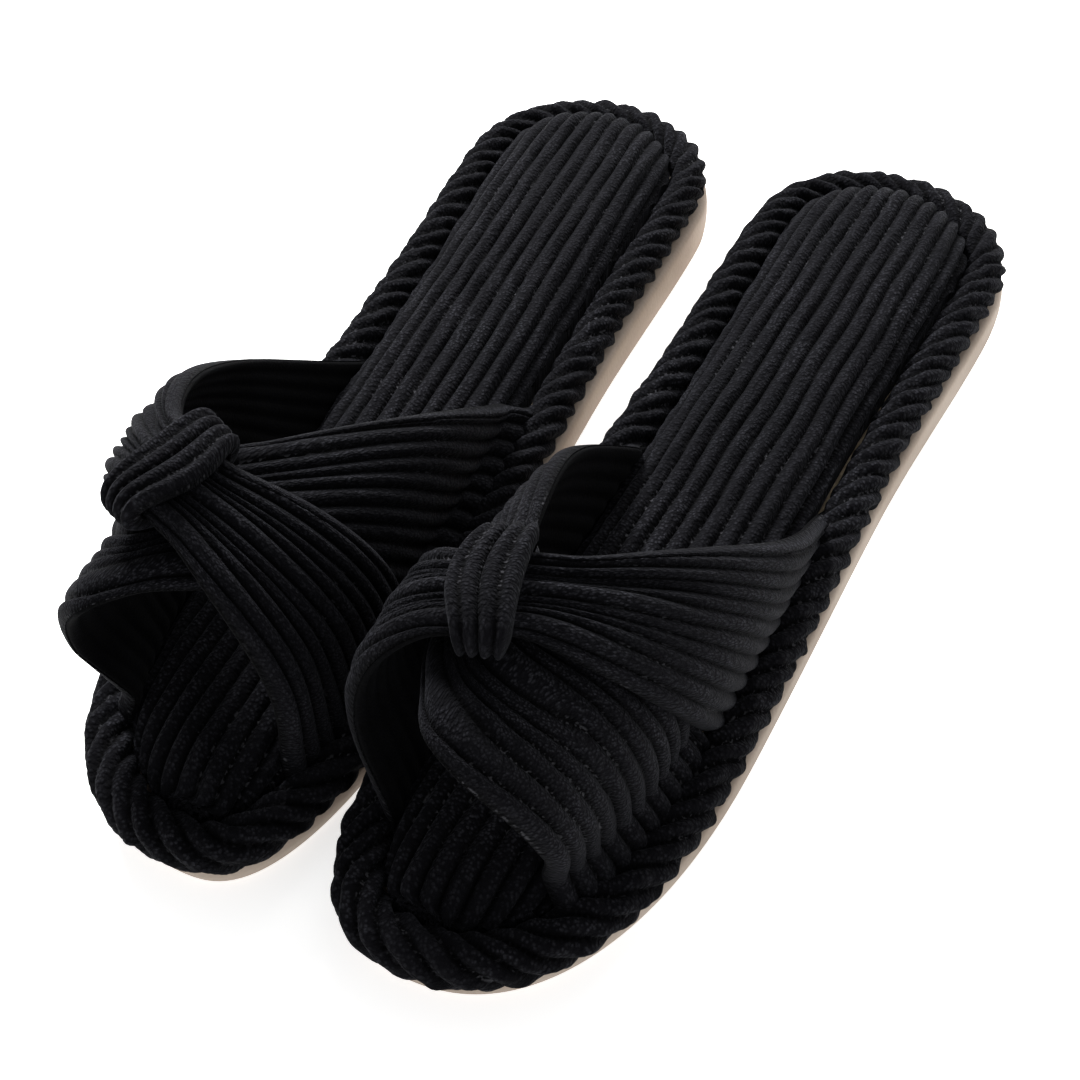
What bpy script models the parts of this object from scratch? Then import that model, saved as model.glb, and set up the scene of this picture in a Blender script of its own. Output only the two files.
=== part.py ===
"""A pair of open-toe, open-back spa slippers with crossed corduroy bands.

Each slipper has a wedge sole, an insole board, a foam pad in a fabric cover, a
corded rim sewn round the edge, and an upper of two crossed bands. A short loop
gathers the upper band where it crosses the lower one. Every band is a padded
face and a lining.

World frame: metres, +Z up, origin on the floor midway between the two slippers.
The toes point to -Y and the wearer's left slipper lies on the +X side. Each
slipper is drawn in its own frame, with +x towards its outer side.
"""

import math
from collections import namedtuple

import bmesh
import bpy
import numpy as np

# ---------------------------------------------------------------- sole outline
SOLE_LENGTH = 0.262
HEEL_HALF_WIDTH = 0.0350
WAIST_HALF_WIDTH = 0.0323
BALL_OUTER_WIDTH = 0.0330
BALL_INNER_WIDTH = 0.0320
BALL_FROM_TOE = 0.074
TOE_TIP_INWARD = 0.008
TOE_ROUNDNESS = 2.35
HEEL_STEPS = 6
SIDE_STEPS = 6
TOE_STEPS = 8

# ------------------------------------------------------------------ the pair
PAIR_GAP = 0.0015
TOE_IN_ANGLE = math.radians(3.1)

# --------------------------------------------------------------------- layers
CLEARANCE = 0.0003
CHANNEL_CLEARANCE = 0.0007
SOLE_HEEL_THICKNESS = 0.0117
SOLE_BALL_THICKNESS = 0.0062
SOLE_TOE_THICKNESS = 0.0062
SOLE_EDGE_ROUND = 0.0015
SOLE_TOP_SET_IN = 0.0018
SOLE_SHOULDER_SET_IN = 0.0006
BOARD_THICKNESS = 0.0013
PAD_WALL_HEIGHT = 0.0050
PAD_CROWN_HEIGHT = 0.0098
PAD_SHOULDER = 0.0092
PAD_SHOULDER_STEPS = 3
COVER_THICKNESS = 0.0015
PAD_CLEARANCE = 0.0007

# ------------------------------------------------------------------- sole tread
GROOVE_WIDTH = 0.0022
GROOVE_DEPTH = 0.0012
GROOVE_PITCH = 0.0080
GROOVE_EDGE_MARGIN = 0.010
BALL_GROOVES = 8
HEEL_GROOVES = 5
BALL_TREAD_CENTRE = -0.066
HEEL_TREAD_CENTRE = 0.084

# ------------------------------------------------------------------ corded rim
RIM_RADIUS = 0.0047
BINDING_THICKNESS = 0.0014
CORD_CLEARANCE = 0.0004
RIM_HEEL_SET_IN = 0.0059
RIM_BALL_SET_IN = 0.0050
RIM_TOE_SET_IN = 0.0016
SEAM_SLIT = math.radians(40)
SEAM_DIRECTION = math.radians(225)
BINDING_STEPS = 8
THREAD_RADIUS = 0.0005

# ----------------------------------------------------------------------- bands
FACE_THICKNESS = 0.0020
LINING_THICKNESS = 0.0008
REAR_END_CENTRE = -0.027
REAR_END_HALF_WIDTH = 0.0335
FRONT_END_CENTRE = -0.087
FRONT_END_HALF_WIDTH = 0.0200
KNOT_POSITION = -0.090
KNOT_EASE = 0.35
OVER_WAIST_HALF_WIDTH = 0.0120
UNDER_WAIST_HALF_WIDTH = 0.0160
WAIST_REACH = 0.17
FAN_POWER = 0.6
ARCH_HEIGHT = 0.068
ARCH_SHOULDER_HEIGHT = 0.039
ARCH_SET_IN = 0.0040
ARCH_NARROWEST_Y = -0.098
ARCH_FOOT_SHARE = 0.38
STRAIGHT_FOOT_HEIGHT = 0.0100
BAND_LEAN = -0.0075
CROSS_DIP_REACH = 0.925
CROSS_DIP_EASE = 0.085
KNOT_DIP_REACH = 0.80
KNOT_DIP_EASE = 0.55
NORMAL_STEP = 0.03
BAND_STEPS = 26
BAND_ROWS = 6

# ------------------------------------------------------------------- knot loop
LOOP_WIDTH = 0.0160
LOOP_THICKNESS = 0.0024
LOOP_CLEARANCE = 0.0011
LOOP_END_STEPS = 5
LOOP_ROWS = 4

# -------------------------------------------- sizes that follow from the above
BAND_THICKNESS = FACE_THICKNESS + CLEARANCE + LINING_THICKNESS
CHANNEL_WIDTH = BAND_THICKNESS + 2 * CHANNEL_CLEARANCE
FOOT_RISE = BOARD_THICKNESS + 2 * THREAD_RADIUS + 4 * CLEARANCE
UNDER_DROP = BAND_THICKNESS + 2 * CLEARANCE
KNOT_DROP = BAND_THICKNESS + 2 * LOOP_CLEARANCE + LOOP_THICKNESS + 2 * CLEARANCE
HEEL_CENTRE_Y = SOLE_LENGTH / 2 - HEEL_HALF_WIDTH
TOE_Y = -SOLE_LENGTH / 2
BALL_Y = TOE_Y + BALL_FROM_TOE
WAIST_Y = (HEEL_CENTRE_Y + BALL_Y) / 2

Band = namedtuple("Band", "rear_is_outer waist dips side")

COLOURS = {
    "corduroy": ((0.012, 0.012, 0.015, 1.0), 0.95),
    "lining": ((0.010, 0.010, 0.012, 1.0), 0.90),
    "sole": ((0.48, 0.40, 0.33, 1.0), 0.65),
    "board": ((0.30, 0.24, 0.17, 1.0), 0.80),
    "foam": ((0.62, 0.60, 0.52, 1.0), 0.90),
    "cord": ((0.70, 0.68, 0.62, 1.0), 0.90),
    "thread": ((0.015, 0.015, 0.018, 1.0), 0.70),
}


# --------------------------------------------------------------- plain helpers
def clear_scene():
    """Remove every object that the file already holds."""
    for item in list(bpy.data.objects):
        bpy.data.objects.remove(item, do_unlink=True)


def make_material(name, finish):
    """Return a Principled material in one of the named finishes."""
    colour, roughness = COLOURS[finish]
    material = bpy.data.materials.new(name)
    material.use_nodes = True
    shader = material.node_tree.nodes["Principled BSDF"]
    shader.inputs["Base Color"].default_value = colour
    shader.inputs["Roughness"].default_value = roughness
    shader.inputs["Metallic"].default_value = 0.0
    return material


def smoothstep(value):
    """Ease a share from 0 to 1 with level ends."""
    share = np.clip(value, 0.0, 1.0)
    return share * share * (3.0 - 2.0 * share)


def along_sole(y, heel_value, ball_value, toe_value):
    """Blend a size from the heel through the ball to the toe tip."""
    to_ball = smoothstep((HEEL_CENTRE_Y - y) / (HEEL_CENTRE_Y - BALL_Y))
    to_toe = smoothstep((BALL_Y - y) / (BALL_Y - TOE_Y))
    return heel_value + (ball_value - heel_value) * to_ball + (toe_value - ball_value) * to_toe


def deck_height(y):
    """Height of the sole's top face, which the layers and the rim sit on."""
    return along_sole(y, SOLE_HEEL_THICKNESS, SOLE_BALL_THICKNESS, SOLE_TOE_THICKNESS)


def rim_set_in(y):
    """Distance from the sole's edge to the middle of the corded rim."""
    return along_sole(y, RIM_HEEL_SET_IN, RIM_BALL_SET_IN, RIM_TOE_SET_IN)


# ---------------------------------------------------------------- sole outline
def half_outline(ball_width, tip_x):
    """Points down one side, from the heel's middle to the toe tip, x positive."""
    points = []
    for step in range(HEEL_STEPS):
        angle = math.pi / 2 * step / HEEL_STEPS
        points.append((HEEL_HALF_WIDTH * math.sin(angle), HEEL_CENTRE_Y + HEEL_HALF_WIDTH * math.cos(angle)))
    for step in range(SIDE_STEPS):
        y = HEEL_CENTRE_Y + (BALL_Y - HEEL_CENTRE_Y) * step / SIDE_STEPS
        to_waist = smoothstep((HEEL_CENTRE_Y - y) / (HEEL_CENTRE_Y - WAIST_Y))
        to_ball = smoothstep((WAIST_Y - y) / (WAIST_Y - BALL_Y))
        width = HEEL_HALF_WIDTH + (WAIST_HALF_WIDTH - HEEL_HALF_WIDTH) * to_waist
        points.append((width + (ball_width - WAIST_HALF_WIDTH) * to_ball, y))
    for step in range(TOE_STEPS + 1):
        angle = math.pi / 2 * step / TOE_STEPS
        reach = math.sin(angle) ** (2 / TOE_ROUNDNESS)
        spread = max(math.cos(angle), 0.0) ** (2 / TOE_ROUNDNESS)
        points.append((tip_x + (ball_width - tip_x) * spread, BALL_Y - BALL_FROM_TOE * reach))
    return points


def sole_outline():
    """The sole's edge as a closed ring, heel first and down the outer side."""
    outer = half_outline(BALL_OUTER_WIDTH, -TOE_TIP_INWARD)
    inner = half_outline(BALL_INNER_WIDTH, TOE_TIP_INWARD)
    mirrored = [(-x, y) for x, y in inner[1:-1]]
    return np.array(outer + mirrored[::-1])


def set_in(ring, distance):
    """Move a clockwise ring inwards along its own normals."""
    tangent = np.roll(ring, -1, axis=0) - np.roll(ring, 1, axis=0)
    tangent /= np.linalg.norm(tangent, axis=1)[:, None]
    inward = np.column_stack([tangent[:, 1], -tangent[:, 0]])
    return ring + inward * np.broadcast_to(distance, len(ring))[:, None]


def shrink(ring, inset):
    """Draw a ring in towards its own middle by the same distance at its sides and ends."""
    low, high = ring.min(axis=0), ring.max(axis=0)
    middle = (low + high) / 2
    return middle + (ring - middle) * (1 - 2 * inset / (high - low))


def slipper_place():
    """Where a slipper's own origin lies, with the named gap and the pair's box centred."""
    outline = sole_outline()
    rim_edge = set_in(outline, rim_set_in(outline[:, 1]) - RIM_RADIUS)
    reach = np.vstack([outline, rim_edge])
    turned_x = reach[:, 0] * math.cos(TOE_IN_ANGLE) + reach[:, 1] * math.sin(TOE_IN_ANGLE)
    turned_y = reach[:, 1] * math.cos(TOE_IN_ANGLE) - reach[:, 0] * math.sin(TOE_IN_ANGLE)
    return PAIR_GAP / 2 - float(turned_x.min()), -float(turned_y.min() + turned_y.max()) / 2


def raised(ring, height_above_deck):
    """Lift a flat ring to a height above the sole's top face."""
    return np.column_stack([ring, deck_height(ring[:, 1]) + height_above_deck])


def side_limit(ring, y, outer):
    """Distance from the slipper's middle line to one side of a ring at a given y."""
    middle = len(ring) // 2
    if outer:
        half = ring[:middle + 1]
    else:
        half = np.vstack([ring[middle:], ring[:1]])[::-1]
    return np.interp(-y, -half[:, 1], np.abs(half[:, 0]))


# ------------------------------------------------------------- mesh builders
def mesh_object(name, vertices, faces, finish, family, side):
    """Make an object of one slipper from vertices in that slipper's own frame."""
    points = np.array(vertices, dtype=float)
    points[:, 0] *= side
    mesh = bpy.data.meshes.new(name)
    mesh.from_pydata(points.tolist(), [], faces)
    work = bmesh.new()
    work.from_mesh(mesh)
    bmesh.ops.recalc_face_normals(work, faces=work.faces)
    closed = all(edge.is_manifold for edge in work.edges)
    if closed and work.calc_volume(signed=True) < 0:
        bmesh.ops.reverse_faces(work, faces=work.faces)
    work.to_mesh(mesh)
    work.free()
    mesh.shade_smooth()
    mesh.set_sharp_from_angle(angle=math.radians(40))
    return add_object(name, mesh, finish, family)


def add_object(name, data, finish, family):
    """Link an object with its own material under a slipper's frame."""
    collection, frame = family
    item = bpy.data.objects.new(name, data)
    data.materials.append(make_material(name, finish))
    collection.objects.link(item)
    item.parent = frame
    return item


def ladder(first, count):
    """Faces that close a ring by crossing it from side to side."""
    faces = [(first, first + 1, first + count - 1)]
    for step in range(1, count // 2 - 1):
        faces.append((first + step, first + step + 1, first + count - step - 1, first + count - step))
    half = first + count // 2
    faces.append((half - 1, half, half + 1))
    return faces


def strip_faces(rows, columns, wrap_columns):
    """Quads over a grid of vertices, with each row closed into a ring if asked."""
    faces = []
    for row in range(rows - 1):
        for column in range(columns if wrap_columns else columns - 1):
            after = (column + 1) % columns
            above = row + 1
            faces.append((row * columns + column, row * columns + after,
                          above * columns + after, above * columns + column))
    return faces


def ring_body(rings, close_first=True):
    """Vertices and faces of stacked rings, closed at the last and maybe the first."""
    count = len(rings[0])
    vertices = np.vstack(rings)
    faces = strip_faces(len(rings), count, True)
    faces += ladder((len(rings) - 1) * count, count)
    if close_first:
        faces += ladder(0, count)
    return vertices, faces


def thicken(item, thickness):
    """Give an open surface an even thickness on both of its sides."""
    solidify = item.modifiers.new("Thickness", "SOLIDIFY")
    solidify.thickness = thickness
    solidify.offset = 0.0
    solidify.use_even_offset = True
    solidify.use_quality_normals = True
    return item


def closed_tube(name, path, radius, resolution, finish, family, side):
    """A round cord that runs all the way round a closed path."""
    curve = bpy.data.curves.new(name, "CURVE")
    curve.dimensions = "3D"
    curve.bevel_depth = radius
    curve.bevel_resolution = resolution
    curve.twist_mode = "Z_UP"
    spline = curve.splines.new("POLY")
    spline.points.add(len(path) - 1)
    for point, place in zip(spline.points, path):
        point.co = (place[0] * side, place[1], place[2], 1.0)
    spline.use_cyclic_u = True
    return add_object(name, curve, finish, family)


# ----------------------------------------------------------------- sole layers
def build_outsole(prefix, family, cutters, side):
    """The wedge sole with a rounded edge and tread grooves underneath."""
    outline = sole_outline()
    bottom = set_in(outline, SOLE_EDGE_ROUND)
    top = set_in(outline, SOLE_TOP_SET_IN)
    shoulder = set_in(outline, SOLE_SHOULDER_SET_IN)
    rings = [
        np.column_stack([bottom, np.zeros(len(bottom))]),
        np.column_stack([outline, np.full(len(outline), SOLE_EDGE_ROUND)]),
        raised(shoulder, -SOLE_EDGE_ROUND),
        raised(top, 0.0),
    ]
    vertices, faces = ring_body(rings)
    sole = mesh_object(prefix + "outsole", vertices, faces, "sole", family, side)
    tread = build_tread_cutter(prefix, cutters, family[1], side)
    cut = sole.modifiers.new("Tread", "BOOLEAN")
    cut.operation = "DIFFERENCE"
    cut.solver = "EXACT"
    cut.object = tread
    return sole


def groove_places():
    """The y of each tread groove, in a group under the ball and one under the heel."""
    places = []
    for centre, count in ((BALL_TREAD_CENTRE, BALL_GROOVES), (HEEL_TREAD_CENTRE, HEEL_GROOVES)):
        for number in range(count):
            places.append(centre + GROOVE_PITCH * (number - (count - 1) / 2))
    return places


def build_tread_cutter(prefix, cutters, frame, side):
    """The bars that cut the tread grooves, as one guide object."""
    work = bmesh.new()
    for y in groove_places():
        right = float(side_limit(sole_outline(), y, True)) - GROOVE_EDGE_MARGIN
        left = float(side_limit(sole_outline(), y, False)) - GROOVE_EDGE_MARGIN
        bar = bmesh.ops.create_cube(work, size=1.0)["verts"]
        bmesh.ops.scale(work, vec=(right + left, GROOVE_WIDTH, 2 * GROOVE_DEPTH), verts=bar)
        bmesh.ops.translate(work, vec=(side * (right - left) / 2, y, 0.0), verts=bar)
    mesh = bpy.data.meshes.new(prefix + "tread_cutter")
    work.to_mesh(mesh)
    work.free()
    cutter = bpy.data.objects.new(prefix + "tread_cutter", mesh)
    cutter.hide_render = True
    cutter.display_type = "WIRE"
    cutters.objects.link(cutter)
    cutter.parent = frame
    return cutter


def board_ring():
    """Outline of the insole board, just inside the corded rim."""
    outline = sole_outline()
    return set_in(outline, rim_set_in(outline[:, 1]) + RIM_RADIUS + 2 * CLEARANCE)


def cover_ring():
    """Outline of the footbed cover, a band's width inside the rim."""
    outline = sole_outline()
    return set_in(outline, rim_set_in(outline[:, 1]) + RIM_RADIUS + CHANNEL_WIDTH)


def channel_ring():
    """Middle of the channel between the rim and the footbed, where the bands are sewn in."""
    outline = sole_outline()
    return set_in(outline, rim_set_in(outline[:, 1]) + RIM_RADIUS + CHANNEL_WIDTH / 2)


def build_board(prefix, family, side):
    """The stiff insole board on top of the sole."""
    ring = board_ring()
    rings = [raised(ring, CLEARANCE), raised(ring, CLEARANCE + BOARD_THICKNESS)]
    vertices, faces = ring_body(rings)
    return mesh_object(prefix + "insole_board", vertices, faces, "board", family, side)


def pad_rings(grow):
    """Rings of the padded footbed, grown by a distance for the cover over it."""
    wall = set_in(cover_ring(), COVER_THICKNESS + PAD_CLEARANCE - grow)
    foot = CLEARANCE * 2 + BOARD_THICKNESS
    shoulder_rise = PAD_CROWN_HEIGHT - PAD_WALL_HEIGHT
    rings = [raised(wall, foot), raised(wall, foot + PAD_WALL_HEIGHT + grow)]
    for step in range(1, PAD_SHOULDER_STEPS + 1):
        angle = math.pi / 2 * step / PAD_SHOULDER_STEPS
        inset = PAD_SHOULDER * (1 - math.cos(angle))
        rise = PAD_WALL_HEIGHT + shoulder_rise * math.sin(angle)
        rings.append(raised(shrink(wall, inset), foot + rise + grow))
    return rings


def build_pad(prefix, family, side):
    """The foam pad of the footbed."""
    vertices, faces = ring_body(pad_rings(0.0))
    return mesh_object(prefix + "foam_pad", vertices, faces, "foam", family, side)


def build_cover(prefix, family, side):
    """The fabric cover drawn over the foam pad, open underneath."""
    vertices, faces = ring_body(pad_rings(PAD_CLEARANCE + COVER_THICKNESS / 2), close_first=False)
    cover = mesh_object(prefix + "footbed_cover", vertices, faces, "corduroy", family, side)
    return thicken(cover, COVER_THICKNESS)


# ------------------------------------------------------------------ corded rim
def rim_path():
    """The middle line of the corded rim, resting on the sole."""
    outline = sole_outline()
    return raised(set_in(outline, rim_set_in(outline[:, 1])), RIM_RADIUS + CLEARANCE)


def outward_directions(path):
    """Unit vectors across a closed path, away from the slipper's middle."""
    flat = path[:, :2]
    outward = flat - set_in(flat, 1.0)
    return np.column_stack([outward, np.zeros(len(path))])


def build_rim_cord(prefix, family, side):
    """The round filler cord inside the rim."""
    radius = RIM_RADIUS - BINDING_THICKNESS - CORD_CLEARANCE
    return closed_tube(prefix + "rim_cord", rim_path(), radius, 2, "cord", family, side)


def build_rim_binding(prefix, family, side):
    """The fabric strip wrapped round the cord, with its seam slit facing in and down."""
    path = rim_path()
    outward = outward_directions(path)
    upward = np.array([0.0, 0.0, 1.0])
    radius = RIM_RADIUS - BINDING_THICKNESS / 2
    rows = []
    for step in range(BINDING_STEPS + 1):
        sweep = (2 * math.pi - SEAM_SLIT) * step / BINDING_STEPS
        angle = SEAM_DIRECTION + SEAM_SLIT / 2 + sweep
        rows.append(path + radius * (math.cos(angle) * outward + math.sin(angle) * upward))
    vertices = np.vstack(rows)
    faces = strip_faces(len(rows), len(path), True)
    binding = mesh_object(prefix + "rim_binding", vertices, faces, "corduroy", family, side)
    return thicken(binding, BINDING_THICKNESS)


def build_seam_thread(prefix, family, side):
    """The line of stitching at the bottom of the channel inside the rim."""
    path = raised(channel_ring(), 2 * CLEARANCE + BOARD_THICKNESS + THREAD_RADIUS)
    return closed_tube(prefix + "seam_thread", path, THREAD_RADIUS, 0, "thread", family, side)


# ----------------------------------------------------------------------- bands
def arch_point(share, y, outer):
    """A point of the upper's arch: share 0 is its foot in the channel, 1 its top."""
    foot_x = side_limit(channel_ring(), y, outer)
    foot_z = deck_height(y) + FOOT_RISE
    wide_x = side_limit(sole_outline(), np.maximum(y, ARCH_NARROWEST_Y), outer) - ARCH_SET_IN
    lower = np.clip(share / ARCH_FOOT_SHARE, 0.0, 1.0)
    angle = np.clip((share - ARCH_FOOT_SHARE) / (1 - ARCH_FOOT_SHARE), 0.0, 1.0) * math.pi / 2
    rise = foot_z + (ARCH_SHOULDER_HEIGHT - foot_z) * lower
    swing = (rise - foot_z - STRAIGHT_FOOT_HEIGHT) / (ARCH_SHOULDER_HEIGHT - foot_z - STRAIGHT_FOOT_HEIGHT)
    x = (foot_x + (wide_x - foot_x) * smoothstep(swing)) * np.cos(angle)
    z = rise + (ARCH_HEIGHT - ARCH_SHOULDER_HEIGHT) * np.sin(angle)
    return np.stack([x if outer else -x, y, z], axis=-1)


def band_centre(travel):
    """Where along the slipper a band's middle line lies, -1 rear end to +1 front end."""
    bend = (REAR_END_CENTRE + FRONT_END_CENTRE) / 2 - KNOT_POSITION
    slope = (FRONT_END_CENTRE - REAR_END_CENTRE) / 2
    eased = (np.hypot(travel, KNOT_EASE) - KNOT_EASE) / (math.hypot(1.0, KNOT_EASE) - KNOT_EASE)
    return KNOT_POSITION + slope * travel + bend * eased


def band_half_width(travel, waist):
    """Half width of a band, gathered at the knot and fanned out to its ends."""
    end = np.where(travel < 0, REAR_END_HALF_WIDTH, FRONT_END_HALF_WIDTH)
    reach = np.clip((np.abs(travel) - WAIST_REACH) / (1 - WAIST_REACH), 0.0, 1.0)
    return waist + (end - waist) * reach ** FAN_POWER


def under_drop(travel):
    """How far the under band dips below the arch to pass the over band and its loop."""
    away = np.abs(travel)
    at_cross = smoothstep((CROSS_DIP_REACH - away) / CROSS_DIP_EASE)
    at_knot = smoothstep((KNOT_DIP_REACH - away) / KNOT_DIP_EASE)
    return UNDER_DROP * at_cross + (KNOT_DROP - UNDER_DROP) * at_knot


def arch_surface(band, travel, across):
    """The arch that a band follows, at arrays of travel and across."""
    y = band_centre(travel) + band_half_width(travel, band.waist) * across
    share = 1.0 - np.abs(travel)
    on_outer = (travel < 0) == band.rear_is_outer
    outer_points = arch_point(share, y, True)
    inner_points = arch_point(share, y, False)
    points = np.where(on_outer[..., None], outer_points, inner_points)
    foot_z = deck_height(y) + FOOT_RISE
    height_share = np.clip((points[..., 2] - foot_z) / (ARCH_HEIGHT - foot_z), 0.0, 1.0)
    points[..., 0] += band.side * BAND_LEAN * height_share ** 2
    return points


def surface_normals(surface, band, travel, across):
    """Unit normals of a band's surface, pointing out of the arch."""
    low = np.clip(travel - NORMAL_STEP, -1.0, 1.0)
    high = np.clip(travel + NORMAL_STEP, -1.0, 1.0)
    along = surface(band, high, across) - surface(band, low, across)
    sideways = surface(band, travel, across + NORMAL_STEP) - surface(band, travel, across - NORMAL_STEP)
    normal = np.cross(along, sideways)
    normal /= np.linalg.norm(normal, axis=-1)[..., None]
    return -normal if band.rear_is_outer else normal


def band_middle(band, travel, across):
    """The middle surface of a band, with the under band's dip."""
    points = arch_surface(band, travel, across)
    if band.dips:
        normals = surface_normals(arch_surface, band, travel, across)
        points = points - normals * under_drop(travel)[..., None]
    return points


def build_band_layer(name, band, lift, thickness, finish, family):
    """One layer of a band, at a distance out from the band's middle surface."""
    steps = np.linspace(-1, 1, BAND_STEPS + 1)
    rows = np.linspace(-1, 1, BAND_ROWS + 1)
    travel, across = np.meshgrid(steps, rows, indexing="ij")
    normals = surface_normals(band_middle, band, travel, across)
    points = band_middle(band, travel, across) + normals * lift
    faces = strip_faces(BAND_STEPS + 1, BAND_ROWS + 1, False)
    layer = mesh_object(name, points.reshape(-1, 3), faces, finish, family, band.side)
    return thicken(layer, thickness)


def build_band(name, band, family):
    """A whole band: the padded face and the lining behind it."""
    face_lift = (BAND_THICKNESS - FACE_THICKNESS) / 2
    lining_lift = (LINING_THICKNESS - BAND_THICKNESS) / 2
    build_band_layer(name, band, face_lift, FACE_THICKNESS, "corduroy", family)
    build_band_layer(name + "_lining", band, lining_lift, LINING_THICKNESS, "lining", family)


def loop_section(half_width, radius):
    """A flat oval round the over band: two straight runs joined by half circles."""
    section = []
    for sign in (1, -1):
        for step in range(LOOP_END_STEPS + 1):
            angle = math.pi * (step / LOOP_END_STEPS - 0.5)
            section.append((sign * (half_width + radius * math.cos(angle)), sign * radius * math.sin(angle)))
    return section


def build_knot_loop(prefix, band, family):
    """The short loop that gathers the over band at the crossing."""
    travel_per_metre = (1 - ARCH_FOOT_SHARE) / (BALL_OUTER_WIDTH * math.pi / 2)
    radius = BAND_THICKNESS / 2 + LOOP_CLEARANCE + LOOP_THICKNESS / 2
    oval = loop_section(band.waist - 2 * CLEARANCE, radius)
    rows = []
    for row in range(LOOP_ROWS + 1):
        travel = np.array([LOOP_WIDTH * (row / LOOP_ROWS - 0.5) * travel_per_metre])
        middle = np.zeros(1)
        centre = arch_surface(band, travel, middle)[0]
        sideways = arch_surface(band, travel, middle + NORMAL_STEP)[0] - centre
        sideways /= np.linalg.norm(sideways)
        normal = surface_normals(arch_surface, band, travel, middle)[0]
        rows.append(np.array([centre + a * sideways + b * normal for a, b in oval]))
    vertices = np.vstack(rows)
    faces = strip_faces(len(rows), len(rows[0]), True)
    loop = mesh_object(prefix + "knot_loop", vertices, faces, "corduroy", family, band.side)
    return thicken(loop, LOOP_THICKNESS)


# --------------------------------------------------------------------- slipper
def build_slipper(prefix, side, collection, cutters):
    """All the pieces of one slipper: side is +1 for the wearer's left, -1 for the right."""
    frame = bpy.data.objects.new(prefix + "frame", None)
    across, along = slipper_place()
    frame.location = (side * across, along, 0.0)
    frame.rotation_euler = (0.0, 0.0, -side * TOE_IN_ANGLE)
    collection.objects.link(frame)
    family = (collection, frame)
    build_outsole(prefix, family, cutters, side)
    build_board(prefix, family, side)
    build_pad(prefix, family, side)
    build_cover(prefix, family, side)
    build_rim_cord(prefix, family, side)
    build_rim_binding(prefix, family, side)
    build_seam_thread(prefix, family, side)
    over_band = Band(True, OVER_WAIST_HALF_WIDTH, False, side)
    under_band = Band(False, UNDER_WAIST_HALF_WIDTH, True, side)
    build_band(prefix + "over_band", over_band, family)
    build_band(prefix + "under_band", under_band, family)
    build_knot_loop(prefix, over_band, family)


def main():
    """Build the pair."""
    clear_scene()
    collection = bpy.data.collections.new("spa_slippers")
    cutters = bpy.data.collections.new("cutters")
    bpy.context.scene.collection.children.link(collection)
    bpy.context.scene.collection.children.link(cutters)
    build_slipper("left_", 1, collection, cutters)
    build_slipper("right_", -1, collection, cutters)


main()
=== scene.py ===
import logging
import math
from dataclasses import dataclass, field
from enum import Enum

import bmesh
import bpy
import numpy as np
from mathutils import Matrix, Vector


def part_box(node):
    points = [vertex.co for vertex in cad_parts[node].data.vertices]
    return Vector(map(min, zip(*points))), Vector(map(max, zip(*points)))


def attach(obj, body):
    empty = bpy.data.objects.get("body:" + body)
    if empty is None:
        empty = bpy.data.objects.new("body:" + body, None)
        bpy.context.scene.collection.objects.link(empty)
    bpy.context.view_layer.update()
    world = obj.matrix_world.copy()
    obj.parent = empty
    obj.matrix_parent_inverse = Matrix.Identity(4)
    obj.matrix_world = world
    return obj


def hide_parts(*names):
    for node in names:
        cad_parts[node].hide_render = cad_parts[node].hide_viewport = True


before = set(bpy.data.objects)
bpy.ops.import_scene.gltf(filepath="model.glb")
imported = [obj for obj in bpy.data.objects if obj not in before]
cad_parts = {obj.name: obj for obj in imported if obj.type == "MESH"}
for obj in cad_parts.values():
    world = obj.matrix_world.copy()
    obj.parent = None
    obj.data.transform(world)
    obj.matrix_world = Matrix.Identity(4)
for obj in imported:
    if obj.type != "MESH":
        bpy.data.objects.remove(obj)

LOG = logging.getLogger("spa_slippers")
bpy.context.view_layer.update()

Array = np.ndarray
Colour = tuple[float, float, float]


class Side(Enum):
    """Which foot a slipper is for, with the direction of its outer side."""

    LEFT = 1
    RIGHT = -1

    @property
    def prefix(self) -> str:
        """The start of this slipper's node names."""
        return "left_" if self is Side.LEFT else "right_"

    @property
    def body(self) -> str:
        """The rigid body that carries this slipper."""
        return self.prefix + "slipper"


# --------------------------------------------------------------------- shading
class Signal:
    """A number socket of a shader that takes part in Python expressions."""

    def __init__(self, paint: "Paint", socket: bpy.types.NodeSocket) -> None:
        """Keep the material being painted and the socket that carries the number."""
        self.paint = paint
        self.socket = socket

    def _join(self, operation: str, left: "Signal | float", right: "Signal | float") -> "Signal":
        """Add one Math node.

        Args:
            operation: the Math node's operation.
            left: the first value.
            right: the second value.

        Returns:
            The node's result as a signal.
        """
        node = self.paint.node("ShaderNodeMath", {"operation": operation}, {0: left, 1: right})
        return Signal(self.paint, node.outputs[0])

    def __add__(self, other: "Signal | float") -> "Signal":
        """Signal plus value."""
        return self._join("ADD", self, other)

    def __radd__(self, other: float) -> "Signal":
        """Value plus signal."""
        return self._join("ADD", other, self)

    def __sub__(self, other: "Signal | float") -> "Signal":
        """Signal minus value."""
        return self._join("SUBTRACT", self, other)

    def __rsub__(self, other: float) -> "Signal":
        """Value minus signal."""
        return self._join("SUBTRACT", other, self)

    def __mul__(self, other: "Signal | float") -> "Signal":
        """Signal times value."""
        return self._join("MULTIPLY", self, other)

    def __rmul__(self, other: float) -> "Signal":
        """Value times signal."""
        return self._join("MULTIPLY", other, self)

    def ease(self, low: float, high: float) -> "Signal":
        """Bring a range to 0..1 with smooth ends.

        Args:
            low: the value that becomes 0.
            high: the value that becomes 1.

        Returns:
            The eased signal.
        """
        node = self.paint.node(
            "ShaderNodeMapRange",
            {"interpolation_type": "SMOOTHSTEP", "clamp": True},
            {"Value": self, "From Min": low, "From Max": high},
        )
        return Signal(self.paint, node.outputs[0])


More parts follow.
